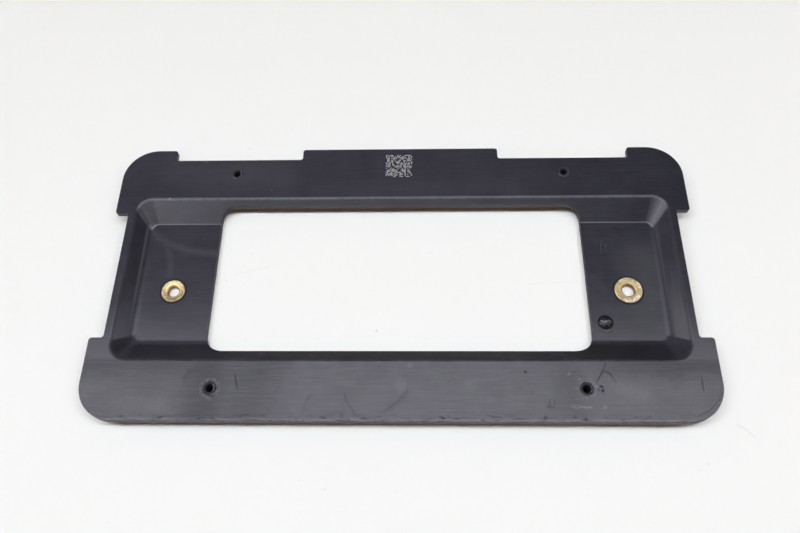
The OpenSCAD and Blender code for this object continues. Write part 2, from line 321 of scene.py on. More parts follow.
# Wear of the moulding, with one painted shade and one painted highlight: (points of a soft line or
# spot, half width, strength)
DARK_WEAR_AND_SHADE = (
    # branched scratch and pits beside the right lower screw
    (((99.7, -46.2), (98.5, -49), (97.2, -51.7), (95.4, -54.5), (93.9, -57)), 0.65, 0.85),
    (((97.5, -51.7), (99.8, -52.4), (101.2, -54), (102.5, -57)), 0.6, 0.85),
    (((95.8, -59.2),), 1.4, 2.0),
    (((96.1, -61.2),), 1.1, 2.0),
    (((94.3, -60.7),), 0.8, 0.9),
    # right end of the lower bar
    (((143, -54.4), (142.4, -58), (142.7, -60.7)), 0.6, 0.8),
    (((144.2, -64.7), (146.3, -67.3)), 0.4, 0.35),
    (((135.2, -67.4), (137.4, -70)), 0.4, 0.3),
    (((117.9, -70.1), (118.2, -72.8)), 0.4, 0.3),
    (((137.5, -73.3), (144.5, -70), (149.4, -64.6), (151, -61.3)), 0.6, 0.4),
    (((126, -52.5), (133, -52)), 6.0, 0.2),
    # rubbed spot left of the same screw
    (((71.2, -65.5), (71.1, -69.2)), 0.6, 0.6),
    (((73.2, -65.2), (73.5, -69)), 0.6, 0.5),
    (((69.9, -68.7), (72.5, -69.1)), 0.8, 0.7),
    (((61, -52.2),), 1.1, 1.6),
    # curved scuff and short scratches in the middle of the lower bar
    (((2.2, -49.6), (5.1, -55), (5.1, -61)), 0.9, 0.22),
    (((5.1, -61), (1, -66.7), (-6, -71.4)), 1.5, 0.28),
    (((-24.8, -62.4), (-23.4, -66.3), (-19.5, -72)), 0.55, 0.6),
    (((-39.7, -62.5), (-42.3, -66.3), (-44, -72)), 0.8, 0.3),
    (((-33.9, -72.7), (-22.7, -71.7)), 0.6, 0.3),
    # washer print round the left lower screw
    (((-101.4, -58), (-101.6, -55.4), (-100.5, -52.8), (-98.3, -51.7)), 0.7, 0.5),
    (((-99.9, -51.3), (-92.7, -50.9), (-86.4, -49.2)), 0.8, 0.3),
    (((-77.4, -53.7), (-76.8, -56.6), (-75.5, -60.3)), 0.8, 0.8),
    (((-92.6, -62), (-90.3, -63.6), (-86.5, -64.6)), 0.8, 1.0),
    (((-66.8, -51.2), (-64.2, -52.9)), 1.4, 0.3),
    (((-62.3, -55.8),), 1.4, 0.4),
    (((-57.8, -57),), 1.3, 0.35),
    # stains below the upper screws
    (((-97.5, 54.3),), 4.0, 0.25),
    (((80.9, 55.5),), 3.0, 0.25),
    (((96.1, 55.4),), 3.0, 0.25),
    # painted shade below the domed plug
    (((100, -28.2), (103.1, -29.2), (106.2, -28.3)), 0.8, 1.2),
)
# dull patches of the lower bar, where hands and the plate rubbed it
DULL_WEAR = (
    (((-92, -76), (-90, -48)), 22, 1.3),
    (((-72, -76), (-68, -48)), 26, 0.85),
    (((-138, -76), (-114, -50)), 24, 0.4),
    (((82, -70), (82, -50)), 13, 0.5),
)
LIGHT_WEAR = (
    # rubs round the right lower screw
    (((104, -60), (114, -62)), 9.0, 0.35),
    (((81.5, -68.9), (90, -69.2)), 1.1, 0.8),
    (((96.2, -69.2),), 1.6, 0.9),
    (((81.3, -53.1),), 1.3, 0.7),
    (((86.1, -55.5),), 1.0, 0.55),
    (((91.5, -55.4),), 1.0, 0.5),
    (((78.5, -62.1),), 1.6, 0.3),
    # pale places in the middle and at the left end of the lower bar
    (((2.3, -59),), 6.0, 0.4),
    (((35.3, -58),), 6.0, 0.3),
    (((6, -49.1),), 3.0, 0.35),
    (((-132, -67.5), (-112, -68.5)), 8.0, 0.25),
    (((-93.6, -60.8), (-91.6, -63.4), (-88.5, -65.7)), 0.9, 0.6),
    # specks on the upper bar
    (((-107.1, 68.6),), 1.0, 0.7),
    (((-124.1, 45.1),), 0.8, 0.9),
    (((-69.1, 49.8),), 0.7, 0.6),
    # scrapes on the right floor
    (((106.6, 22), (105.8, 18.1), (105.9, 14.6)), 0.5, 0.25),
    (((108.2, 20.5), (107.9, 16.6)), 0.5, 0.2),
    (((101.5, -28.1), (103.4, -28.3), (105.2, -28.1)), 0.4, 0.4),
)
HAZE = (
    # on the upper bar
    (((-118, 64), (-66, 58)), 20, 0.75),
    (((-45, 51), (60, 51)), 9, 0.4),
    # a broad bloom on each floor, and faint arcs on the left one
    (((127, 10), (127, -8)), 22, 1.6),
    (((-131, -8), (-131, -26)), 11, 0.5),
    (((-134, 29.5), (-129.5, 24.8), (-122.6, 21.1), (-112.1, 17.3), (-98, 15.5)), 3.4, 1.0),
    (((-129.5, 26.5), (-124.5, 20), (-121.3, 12.5), (-120.3, 3)), 3.0, 0.8),
)
# bright worn places of the bushes
LEFT_CHIPS = ((((-120.5, -9.5),), 1.2, 0.5),)
RIGHT_CHIPS = (
    (((114.5, -12), (118.5, -12.3), (121.8, -9.8)), 1.5, 0.9),
    (((122.8, -5), (122.4, -1.5)), 1.0, 0.7),
)
# painted highlight: a pale squiggle over the top of the domed plug
PLUG_X, PLUG_Y = centre_of("domed_plug")
GLINT_PATH = ((-2.4, 0.4), (-0.9, -0.5), (0.8, 0.5), (2.4, 0.2))
PLUG_GLINT = (([(PLUG_X + x, PLUG_Y + y) for x, y in GLINT_PATH], 0.4, 1.0),)
# faint marks on the table, kept well away from the part's silhouette
TABLE_DARK = (
    (((-79, 44),), 0.9, 0.6),
    (((-87, 85),), 1.3, 0.25),
    (((160, -74), (163, -76), (167, -80)), 0.5, 0.3),
    (((139, -95),), 0.8, 0.25),
    (((-45, -101),), 0.7, 0.2),
    (((59, 28),), 0.8, 0.25),
    (((17, 17),), 0.6, 0.2),
    (((11, 27),), 0.5, 0.2),
    (((44, 18),), 0.6, 0.2),
    (((83, 18),), 0.7, 0.25),
    (((34, 36),), 0.5, 0.2),
    (((-79, 17),), 0.9, 0.2),
    (((-77, -32),), 0.8, 0.3),
    (((-91, 1),), 0.7, 0.35),
    (((68, -1), (93, 0)), 0.6, 0.1),
    (((-88, 4), (-69, 9.5)), 0.7, 0.12),
)
TABLE_BROWN = ((((-11, -27),), 0.8, 0.6),)


# Materials


def dish_normal(g):
    """Smooth normals for the dish, whose corners are cones and whose floor folds are soft.

    Each wall leans outward from a corner arc. The arc's centre moves and its radius grows
    with the height, by other amounts in the upper and the lower half.
    """
    upper = g.math("GREATER_THAN", g.y, 0)
    rise = g.math("DIVIDE", g.minus(g.z, FLOOR_Z), FACE_Z - FLOOR_Z)

    def by_half(lower_value, upper_value):
        return g.math("MULTIPLY_ADD", upper, upper_value - lower_value, lower_value)

    grow_r = by_half(FOOT_CORNER - FLOOR_CORNER, HEAD_CORNER - FLOOR_CORNER)
    grow_x = g.minus(SHORT_SLOPE, grow_r)
    grow_y = g.minus(LONG_SLOPE, grow_r)
    reach_x = g.minus(g.absolute(g.x), FLOOR_EDGE - FLOOR_CORNER)
    reach_y = g.minus(g.absolute(g.y), by_half(-FLOOR_FOOT, FLOOR_HEAD))
    reach_y = g.plus(reach_y, FLOOR_CORNER)

    def outward(x, y):
        """The vector from the arc's centre, or straight out from a straight wall."""
        return g.joined(g.most(x, 0), g.most(y, 0), 0)

    at_height = outward(
        g.minus(reach_x, g.times(grow_x, rise)),
        g.minus(reach_y, g.times(grow_y, rise)),
    )
    cos, sin, _ = g.split(g.vector("NORMALIZE", at_height))
    run = g.plus(g.times(grow_x, cos), g.times(grow_y, sin), grow_r)
    wall = g.joined(
        g.times(cos, g.math("SIGN", g.x), -1),
        g.times(sin, g.math("SIGN", g.y), -1),
        g.math("DIVIDE", run, FACE_Z - FLOOR_Z),
    )
    wall = g.vector("NORMALIZE", wall)

    # the floor's normal turns into the wall's over the soft width of the fold
    past_fold = g.minus(g.vector("LENGTH", outward(reach_x, reach_y), out=1), FLOOR_CORNER)
    soft_side = g.times(cos, cos, SIDE_SOFT)
    soft_end = g.times(sin, sin, by_half(FOOT_SOFT, HEAD_SOFT))
    soft = g.plus(soft_side, soft_end, LEAST_SOFT)
    share = g.ramp(past_fold, g.times(soft, -1), soft)
    up = g.stretched((0, 0, 1), g.without(share))
    turned = g.vector("ADD", up, g.stretched(wall, share))

    # only the upward surfaces between the floor and the fold at the face are changed
    in_dish = g.times(
        g.ramp(g.z, FACE_Z - 0.9, FACE_Z - 1.5),
        g.ramp(g.z, FLOOR_Z - 0.1, FLOOR_Z - 0.02),
        g.ramp(g.nz, 0.3, 0.4),
        g.ramp(past_fold, DISH_REACH + 1, DISH_REACH),
    )
    kept = g.stretched(g.normal, g.without(in_dish))
    return g.vector("NORMALIZE", g.vector("ADD", kept, g.stretched(turned, in_dish)))


class MouldedPlastic(Graph):
    """Satin black plastic. Its layers share the noises and masks that are made first."""

    CLEAN_DARK = (0.019, 0.0187, 0.0265)
    CLEAN_LIGHT = (0.028, 0.0277, 0.0375)
    # darker slope above the lower bar: in part its own tone, in part painted shade
    FOOT_SLOPE_SHADE = (0.006, 0.006, 0.007)
    # painted light: warm light bounced from the table on the long walls, and painted shade on the
    # end walls
    LONG_WALL_WARM_LIGHT = (0.046, 0.039, 0.036)
    END_WALL_SHADE = (0.012, 0.011, 0.012)
    SMUDGE = (0.06, 0.06, 0.07)
    BLACKENED = (0.006, 0.006, 0.008)
    RUBBED = (0.13, 0.13, 0.145)
    # pale worn edges with a painted highlight
    EDGE_WEAR_AND_HIGHLIGHT = (0.12, 0.12, 0.135)
    # painted highlight along the fold at the floor
    FOLD_HIGHLIGHT = (0.15, 0.15, 0.165)
    # painted shade, with some dirt, in the seat gaps and the screw bores
    GAP_SHADE_AND_DIRT = (0.003, 0.003, 0.003)

    def __init__(self):
        super().__init__("moulded_plastic")
        # surfaces that face up, walls that stand, and walls that look along x
        self.level = self.ramp(self.nz, 0.2, 0.5)
        self.wall = self.ramp(self.absolute(self.nz), 0.15, 0.5, 1, 0)
        self.steep = self.ramp(self.absolute(self.nx), 0.2, 0.5)
        self.on_lower_bar = self.ramp(self.y, LOWER_FOLD + 1, LOWER_FOLD - 1)
        # broad patches, and fine lines that run along x or, on the end walls, along y
        self.patch = self.noise(self.point, 0.13, 4)
        self.rows = self.drawn_noise((0.05, 1.2, 0.4), 4, 0.7)
        columns = self.drawn_noise((0.9, 0.04, 0.4), 4, 0.7)
        self.lines = self.mix(self.steep, self.rows, columns)
        # a mark shows through only where this noise lets it
        self.broken = self.ramp(self.noise(self.point, 0.8, 3), 0.36, 0.56, 0.45, 1)
        self.screw_gap = self.least(*[self.away(screw) for screw in SCREWS])

    def edge_wear(self):
        """The rub along the edge of the lower bar, and the dark pits that break it."""
        rub = self.times(
            self.ramp(self.y, LOWER_EDGE + 2.2, LOWER_EDGE + 0.9),
            self.ramp(self.drawn_noise((0.1, 0.9, 1), 4, 0.7), 0.35, 0.6, 0.3, 1),
        )
        pits = self.times(
            self.ramp(self.y, LOWER_EDGE + 5.0, LOWER_EDGE + 2.0),
            self.ramp(self.drawn_noise((0.35, 1.4, 1), 3), 0.56, 0.63),
        )
        return self.times(rub, self.without(pits)), pits

    def dark_marks(self, pits):
        """Scratches and stains, a painted shade below the domed plug, the pits of the lower edge,
        and painted shade round the screw mouths.
        """
        scratches = self.times(self.marks(DARK_WEAR_AND_SHADE, 0.5), self.broken, self.level)
        # painted shade round the screw mouths
        mouth_shade = self.times(self.ramp(self.screw_gap, 2.9, 3.7, 1, 0), self.level, 0.95)
        return self.most(scratches, self.times(pits, self.level, 0.95), mouth_shade)

    def pale_marks(self, rub):
        """Rubbed spots and lines, a broken halo round the lower screws, and thin rings."""
        spots = self.times(self.marks(LIGHT_WEAR, 0.8), self.broken, self.level)
        edge = self.times(rub, self.level, 0.6)
        dragged = self.ramp(self.rows, 0.44, 0.66)
        dragged = self.times(dragged, self.on_lower_bar, self.level, 0.16)
        halo = self.times(
            self.band(self.screw_gap, 3.5, 5.0, 0.6),
            self.ramp(self.noise(self.point, 0.7, 3), 0.42, 0.6),
            self.on_lower_bar,
            self.level,
            0.4,
        )
        rings = self.band(self.screw_gap, 2.6, 2.9, 0.15)
        rings = self.times(rings, self.level, self.broken, 0.4)
        return self.most(spots, edge, dragged, halo, rings)

    def haze(self):
        """Pale bloom on the recess floors and on the upper bar."""
        on_floor = self.ramp(self.z, FLOOR_Z + 0.3, FLOOR_Z + 0.1)
        on_upper_bar = self.ramp(self.y, UPPER_FOLD, UPPER_FOLD + 1)
        flat_part = self.most(on_floor, on_upper_bar)
        return self.times(self.marks(HAZE, 0.8), flat_part, self.level)

    def worn_edge_and_highlight(self):
        """Thin pale line along the bevels and the fold that lean to the lower bar's side: worn
        edges with a painted highlight.
        """
        tilted = self.times(self.ramp(self.nz, 0.35, 0.6), self.ramp(self.nz, 0.9, 0.985, 1, 0))
        high = self.ramp(self.z, FACE_Z - 0.9, FACE_Z - 0.35)
        leaning = self.ramp(self.ny, -0.15, -0.3)
        patchy = self.ramp(self.noise(self.point, 0.25, 4, 0.7), 0.35, 0.62, 0.35, 1)
        return self.times(tilted, high, leaning, patchy)

    def fold_highlight(self):
        """Painted highlight: a thin pale line where the upper slope meets the floor."""
        low = self.ramp(self.z, FLOOR_Z + 0.7, FLOOR_Z + 0.3)
        tilted = self.times(self.ramp(self.nz, 0.84, 0.9), self.ramp(self.nz, 0.985, 0.999, 1, 0))
        return self.times(low, tilted, self.ramp(self.ny, -0.05, -0.2))

    def foot_slope_shade(self):
        """The slope above the lower bar, darker than the rest: in part its own tone and in part
        painted shade.
        """
        place = self.ramp(self.y, FLOOR_FOOT + 1, FLOOR_FOOT - 3)
        return self.times(self.ramp(self.ny, 0.15, 0.5), self.level, place, 0.6)

    def dull_places(self):
        """The rubbed patches and the two far ends of the lower bar."""
        ends = self.times(
            self.ramp(self.absolute(self.x), 80, 120),
            self.ramp(self.y, -60, -48),
            self.on_lower_bar,
            self.level,
        )
        patches = self.times(self.marks(DULL_WEAR, 1.5), self.on_lower_bar, self.level)
        return self.most(patches, ends)

    def shade_and_dirt_in_gaps(self):
        """Painted shade with some dirt in and round the seats of the bushes and the plug, and
        painted shade in the screw bores.
        """
        gaps = [self.minus(self.away(centre_of(node)), radius_of(node)) for node in SEATED]
        near_seat = self.least(*gaps)
        in_seat = self.times(
            self.ramp(self.z, FLOOR_Z - 0.2, FLOOR_Z - 0.04, 1, 0),
            self.ramp(self.z, 0.7, 1.2),
            self.ramp(near_seat, 0.8, 1.2, 1, 0),
        )
        round_seat = self.times(
            self.ramp(near_seat, 0.3, 0.9, 1, 0),
            self.ramp(self.z, FLOOR_Z + 0.1, FLOOR_Z + 0.3, 1, 0),
            0.8,
        )
        in_bore = self.times(
            self.ramp(self.screw_gap, 1.95, 2.15, 1, 0),
            self.ramp(self.z, FACE_Z - 0.1, FACE_Z + 0.1, 1, 0),
        )
        return self.most(in_seat, round_seat, in_bore)

    def clean_colour(self, foot_slope_shade):
        """The colour without wear: clouds and fine lines on the flats, painted warm light on the
        long walls, painted shade on the end walls, and a darker slope above the lower bar that is
        in part painted shade.
        """
        cloud = self.noise(self.point, 0.03, 4)
        tone = self.plus(
            self.times(cloud, 0.45),
            self.times(self.patch, 0.2),
            self.times(self.lines, 0.35),
        )
        flat_tone = self.mix(self.ramp(tone, 0.36, 0.62), self.CLEAN_DARK, self.CLEAN_LIGHT)
        # painted warm bounce light on the long walls and painted shade on the end walls
        painted_wall_light = self.mix(self.steep, self.LONG_WALL_WARM_LIGHT, self.END_WALL_SHADE)
        return self.layered(flat_tone, ((foot_slope_shade, self.FOOT_SLOPE_SHADE), (self.wall, painted_wall_light)))

    def made(self):
        """The finished material: the clean colour with one layer of wear, painted shade and painted
        highlight over another.
        """
        rub, pits = self.edge_wear()
        dark = self.dark_marks(pits)
        pale = self.pale_marks(rub)
        foot_slope_shade = self.foot_slope_shade()
        dull = self.dull_places()
        shade_and_dirt = self.shade_and_dirt_in_gaps()
        smudge = self.ramp(self.patch, 0.36, 0.64)
        smudge = self.times(smudge, self.on_lower_bar, self.level, 0.3)

        wear_and_painted_light = (
            (smudge, self.SMUDGE),
            (self.times(dull, 0.7), self.BLACKENED),
            (dark, self.BLACKENED),
            (pale, self.RUBBED),
            (self.times(self.haze(), 0.13), self.RUBBED),
            # pale worn edges with a painted highlight
            (self.times(self.worn_edge_and_highlight(), 0.34), self.EDGE_WEAR_AND_HIGHLIGHT),
            # painted highlight where the upper slope meets the floor
            (self.times(self.fold_highlight(), 0.6), self.FOLD_HIGHLIGHT),
            # painted shade with some dirt in the seat gaps and the screw bores
            (shade_and_dirt, self.GAP_SHADE_AND_DIRT),
        )
        colour = self.layered(self.clean_colour(foot_slope_shade), wear_and_painted_light)
        rough = self.plus(
            self.ramp(self.lines, 0.3, 0.7, 0.155, 0.19),
            self.ramp(self.patch, 0.3, 0.7, 0, 0.03),
            self.times(dark, self.on_lower_bar, 0.6),
            self.times(pale, 0.08),
            self.times(foot_slope_shade, 0.1),
            self.times(self.wall, 0.3),
            self.times(dull, 0.16),
            self.times(shade_and_dirt, 0.4),
        )
        grain = self.noise(self.point, 2.4, 2)
        height = self.plus(self.times(grain, 0.4), self.times(self.lines, 0.55))
        self.shiny(0.35)
        normal = self.bump(height, 0.05, 0.2, dish_normal(self))
        return self.finish(colour=colour, roughness=rough, Normal=normal)


def torn_plastic(name, low, high):
    """Rough plastic between two grey levels."""
    g = Graph(name)
    grey = g.ramp(g.noise(g.point, 1.8, 3), 0.35, 0.65)
    colour = g.mix(grey, (low, low, low * 1.1), (high, high, high * 1.1))
    rough = g.ramp(g.noise(g.point, 3.0, 3), 0.3, 0.7, 0.5, 0.75)
    g.shiny(0.15)
    normal = g.bump(g.noise(g.point, 4, 3), 0.3, 0.1)
    return g.finish(colour=colour, roughness=rough, Normal=normal)


PLATING_DARK = (0.2, 0.155, 0.068)
PLATING_LIGHT = (0.43, 0.355, 0.18)
PALE_RIM = (0.5, 0.45, 0.32)
# brown of the bore, painted darker towards its top as shade
BORE_TOP_SHADE = (0.19, 0.095, 0.042)
BORE_FOOT = (0.42, 0.32, 0.26)
TARNISH = (0.1, 0.075, 0.035)
BRIGHT_CHIP = (0.82, 0.72, 0.66)


def bush_metal(node, chips, mouth_highlight):
    """Dull yellowed plating with turning rings, a painted highlight round the mouth, brown in the
    bore and painted darker towards its top as shade, and bright at its chips.
    """
    g = Graph(node + "_metal")
    rim_r = radius_of(node)
    bore_r = MOUNTS[node + "_bore"]["dims"]["r_mm"]
    r = g.away(centre_of(node))
    rings = g.noise(g.stretched((3.2, 0, 0), r), 1.0, 3, 0.7)
    blotch = g.noise(g.point, 0.55, 4)
    grit = g.noise(g.point, 1.7, 3, 0.7)
    tone = g.plus(g.times(blotch, 0.35), g.times(grit, 0.4), g.times(rings, 0.25))
    rim = g.band(r, rim_r - 0.62, rim_r, 0.2)
    rim = g.times(rim, g.ramp(blotch, 0.4, 0.6, 0, 0.55))
    mouth = g.band(r, bore_r + 0.25, bore_r + 1.0, 0.3)
    inside = g.ramp(r, bore_r + 0.05, bore_r + 0.2, 1, 0)
    spots = g.ramp(g.noise(g.point, 1.5, 4, 0.7), 0.6, 0.68)
    worn = g.times(g.marks(chips, 0.4), g.ramp(g.noise(g.point, 1.3, 4, 0.7), 0.45, 0.55))
    layers = (
        (rim, PALE_RIM),
        # painted highlight round the mouth
        (g.times(mouth, 0.7), mouth_highlight),
        # brown of the bore, painted darker towards its top as shade
        (inside, g.mix(g.ramp(g.z, 0.8, 2.0), BORE_FOOT, BORE_TOP_SHADE)),
        (g.times(spots, 0.55), TARNISH),
        (worn, BRIGHT_CHIP),
    )
    plating = g.mix(g.ramp(tone, 0.38, 0.62), PLATING_DARK, PLATING_LIGHT)
    colour = g.layered(plating, layers)
    rough = g.plus(g.ramp(tone, 0.35, 0.65, 0.3, 0.45), g.times(inside, 0.15))
    metallic = g.ramp(inside, 0, 1, 0.85, 0.5)
    height = g.plus(g.times(rings, 0.6), g.times(blotch, 0.4), g.times(worn, 1.2))
    normal = g.bump(height, 0.25, 0.15)
    return g.finish(colour=colour, roughness=rough, metallic=metallic, Normal=normal)


RUBBER_BLACKS = ((0.007, 0.007, 0.009), (0.014, 0.014, 0.018))
# painted highlight over the top of the plug
PAINTED_GLINT = (0.3, 0.3, 0.33)


def rubber():
    """Glossy black, a little lumpy, with one painted highlight."""
    g = Graph("glossy_rubber")
    black = g.mix(g.noise(g.point, 1.0, 3), *RUBBER_BLACKS)
    glint = g.times(g.marks(PLUG_GLINT, 0.3), g.ramp(g.noise(g.point, 1.4, 3), 0.4, 0.55))
    colour = g.mix(glint, black, PAINTED_GLINT)
    rough = g.ramp(g.noise(g.point, 2.0, 3), 0.3, 0.7, 0.05, 0.11)
    g.shiny(0.3)
    normal = g.bump(g.noise(g.point, 0.8, 2, 0.5), 0.5, 0.5)
    return g.finish(colour=colour, roughness=rough, Normal=normal)


LASER_GREYS = ((0.24, 0.24, 0.255), (0.36, 0.36, 0.38))


def laser_grey():
    """The pale, uneven grey of plastic marked by a laser."""
    g = Graph("laser_grey")
    colour = g.mix(g.noise(g.point, 1.5, 3), *LASER_GREYS)
    rough = g.ramp(g.noise(g.point, 3.0, 2), 0.3, 0.7, 0.5, 0.7)
    normal = g.bump(g.noise(g.point, 5, 2), 0.2, 0.05)
    return g.finish(colour=colour, roughness=rough, Normal=normal)


TABLE_WHITES = ((0.915, 0.915, 0.913), (0.935, 0.935, 0.93))
DUST = (0.35, 0.34, 0.33)
DARK_DIRT = (0.3, 0.29, 0.28)
BROWN_DIRT = (0.55, 0.32, 0.14)


def table_top():
    """Matt white with faint dirt."""
    g = Graph("table_top")
    white = g.mix(g.noise(g.point, 0.01, 3), *TABLE_WHITES)
    layers = (
        (g.times(g.specks(16, 1.3), 0.12), DUST),
        (g.times(g.marks(TABLE_DARK, 0.4), 0.6), DARK_DIRT),
        (g.marks(TABLE_BROWN, 0.2), BROWN_DIRT),
    )
    colour = g.layered(white, layers)
    rough = g.ramp(g.noise(g.point, 0.2, 3), 0.3, 0.7, 0.6, 0.75)
    g.shiny(0.2)
    normal = g.bump(g.noise(g.point, 0.6, 3), 0.05, 0.2)
    return g.finish(colour=colour, roughness=rough, Normal=normal)


def paint(node, material):
    """Gives a CAD node its material."""
    part = frame["nodes"][node]
    part.data.materials.clear()
    part.data.materials.append(material)


# painted highlight round the mouth of each bush: bright yellow on the left one, dull on the right
# one
LEFT_MOUTH_HIGHLIGHT = (0.66, 0.49, 0.22)
RIGHT_MOUTH_HIGHLIGHT = (0.4, 0.3, 0.15)

paint("base_plate", MouldedPlastic().made())
paint("left_bush", bush_metal("left_bush", LEFT_CHIPS, LEFT_MOUTH_HIGHLIGHT))
paint("right_bush", bush_metal("right_bush", RIGHT_CHIPS, RIGHT_MOUTH_HIGHLIGHT))
paint("domed_plug", rubber())


# Small pieces on the moulding


def make_mesh(name, points, faces, material):
    """An object from points in millimetres."""
    mesh = bpy.data.meshes.new(name)
    mesh.from_pydata([tuple(c * MM for c in p) for p in points], [], faces)
    mesh.update()
    mesh.materials.append(material)
    made = bpy.data.objects.new(name, mesh)
    bpy.context.scene.collection.objects.link(made)
    return made


def seated(piece, smooth=False):
    """A piece that belongs to the moulding."""
    if smooth:
        piece.data.shade_smooth()
    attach(piece, "root")
    return piece


def tube(path, closed, points, faces, height=1.0, sides=8):
    """Adds a tube along a path of (x, y, z, radius), its section scaled in height."""
    first = len(points)
    count = len(path)
    for k, (x, y, z, r) in enumerate(path):
        before = path[k - 1] if closed or k else path[k]
        after = path[(k + 1) % count] if closed or k < count - 1 else path[k]
        dx = after[0] - before[0]
        dy = after[1] - before[1]
        length = math.hypot(dx, dy)
        for j in range(sides):
            a = 2 * math.pi * j / sides
            out = r * math.cos(a)
            up = r * height * math.sin(a)
            points.append((x + out * dy / length, y - out * dx / length, z + up))
    for k in range(count if closed else count - 1):
        here = first + k * sides
        there = first + (k + 1) % count * sides
        for j in range(sides):
            i = (j + 1) % sides
            faces.append((here + j, here + i, there + i, there + j))
    if not closed:
        faces.append(tuple(first + j for j in reversed(range(sides))))
        faces.append(tuple(first + (count - 1) * sides + j for j in range(sides)))


def uneven_ring(rng, centre, radius, z, half_width, swing, steps=72):
    """A closed path round centre whose radius and width swell at random."""
    waves = [(rng.uniform(0.3, 1), rng.randint(2, 9), rng.uniform(0, 6.3)) for _ in range(5)]
    ring = []
    for k in range(steps):
        a = 2 * math.pi * k / steps
        swell = swing * sum(size * math.sin(n * a + phase) for size, n, phase in waves) / 4
        r = radius + swell
        x = centre[0] + r * math.cos(a)
        y = centre[1] + r * math.sin(a)
        ring.append((x, y, z, half_width + swell))
    return ring


def arc(centre, radii, angles, z, thick, steps=24):
    """An open path with thin ends; the radius runs evenly between the two given."""
    made = []
    for k in range(steps):
        t = k / (steps - 1)
        a = math.radians(angles[0] + (angles[1] - angles[0]) * t)
        r = radii[0] + (radii[1] - radii[0]) * t
        width = 0.04 + thick * math.sin(math.pi * t) ** 0.6
        made.append((centre[0] + r * math.cos(a), centre[1] + r * math.sin(a), z, width))
    return made


# torn lip: middle radius, height over the face, half width and how much it wavers
LIP_R = 2.6
LIP_OVER = 0.28
LIP_HALF = 0.45
LIP_SWING = 0.12


def mouth_burrs():
    """The dark, uneven lip of torn plastic round each screw mouth."""
    rng = random.Random(11)
    points = []
    faces = []
    for screw in SCREWS:
        ring = uneven_ring(rng, screw, LIP_R, FACE_Z + LIP_OVER, LIP_HALF, LIP_SWING)
        tube(ring, True, points, faces, 0.3)
    made = make_mesh("mouth_burrs", points, faces, torn_plastic("torn_plastic", 0.012, 0.035))
    return seated(made, smooth=True)


# pale curls of plastic: screw number, radii, angles, height over the face, thickness
CURLS = (
    (0, (2.2, 2.3), (-70, 60), 0.4, 0.16),
    (1, (2.2, 2.3), (-80, 20), 0.4, 0.14),
    (2, (2.1, 2.3), (-50, 70), 0.4, 0.2),
    (2, (4.3, 3.6), (150, 262), 0.02, 0.4),
    (2, (3.5, 4.6), (240, 300), 0.05, 0.22),
    (3, (2.2, 2.3), (-60, 40), 0.4, 0.16),
)


def burr_curls():
    """Thin pale edges of the torn lips, with two longer curls at the left lower screw."""
    points = []
    faces = []
    for screw, radii, angles, over, thick in CURLS:
        tube(arc(SCREWS[screw], radii, angles, FACE_Z + over, thick), False, points, faces, 0.7)
    made = make_mesh("burr_curls", points, faces, torn_plastic("pale_plastic", 0.08, 0.16))
    return seated(made, smooth=True)


# half width of the dark ring of painted shade and dirt round each seated piece
SHADE_RING_HALF = (0.42, 0.42, 0.3)


def seat_shade_and_grime():
    """A dark ring round the bushes and the plug: painted shade in the seat gaps, with some settled
    dirt.
    """
    rng = random.Random(3)
    points = []
    faces = []
    for node, half in zip(SEATED, SHADE_RING_HALF):
        ring = uneven_ring(rng, centre_of(node), radius_of(node) + half, FLOOR_Z + 0.02, half, 0.07)
        tube(ring, True, points, faces, 0.2)
    made = make_mesh("seat_shade_and_grime", points, faces, torn_plastic("dirt_and_painted_shade", 0.004, 0.012))
    return seated(made, smooth=True)


# field of cells on the middle tab: its left lower corner, its side and the cells in a row
MARK_LEFT = -7.6
MARK_FOOT = 57.7
MARK_SIDE = 14.4
MARK_COUNT = 21
# share of the cells that are filled, and how much of its place a cell takes
MARK_FILLED = 0.52
MARK_CELL = 0.88


def mark_cells():
    """A plain field of small pale squares in place of the printed mark, in no code."""
    rng = random.Random(5)
    pitch = MARK_SIDE / MARK_COUNT
    half = MARK_CELL * pitch / 2
    points = []
    faces = []
    for row in range(MARK_COUNT):
        for column in range(MARK_COUNT):
            if rng.random() > MARK_FILLED:
                continue
            x = MARK_LEFT + (column + 0.5) * pitch
            y = MARK_FOOT + (row + 0.5) * pitch
            first = len(points)
            for z in (FACE_Z - 0.02, FACE_Z + 0.03):
                points += [(x - half, y - half, z), (x + half, y - half, z)]
                points += [(x + half, y + half, z), (x - half, y + half, z)]
            faces.append(tuple(first + k for k in (3, 2, 1, 0)))
            faces.append(tuple(first + k for k in (4, 5, 6, 7)))
            for k in range(4):
                j = (k + 1) % 4
                faces.append((first + k, first + j, first + 4 + j, first + 4 + k))
    return seated(make_mesh("mark_cells", points, faces, laser_grey()))


mouth_burrs()
burr_curls()
seat_shade_and_grime()
mark_cells()


# Table and camera

TABLE_HALF = 1500
table = make_mesh(
    "table",
    [(sx * TABLE_HALF, sy * TABLE_HALF, 0) for sx, sy in ((-1, -1), (1, -1), (1, 1), (-1, 1))],
    [(0, 1, 2, 3)],
    table_top(),
)

# the place, in millimetres, and the turns, in degrees, at which the outline, the folds and
# the screw holes fall where the photograph shows them
CAMERA_AT = (12.647, -156.674, 338.980)
CAMERA_TURNS = (26.0672, 1.7413, 0.6461)
LENS = 32.205


def add_camera():
    """The camera at the photograph's place, with its frame 36 mm wide."""
    data = bpy.data.cameras.new("camera")
    data.lens = LENS
    data.sensor_width = 36
    data.sensor_fit = "HORIZONTAL"
    data.clip_start = 0.01
    data.clip_end = 20
    camera = bpy.data.objects.new("camera", data)
    camera.location = Vector(CAMERA_AT) * MM
    camera.rotation_euler = Euler([math.radians(turn) for turn in CAMERA_TURNS])
    bpy.context.scene.collection.objects.link(camera)
    bpy.context.scene.camera = camera


add_camera()


# Light

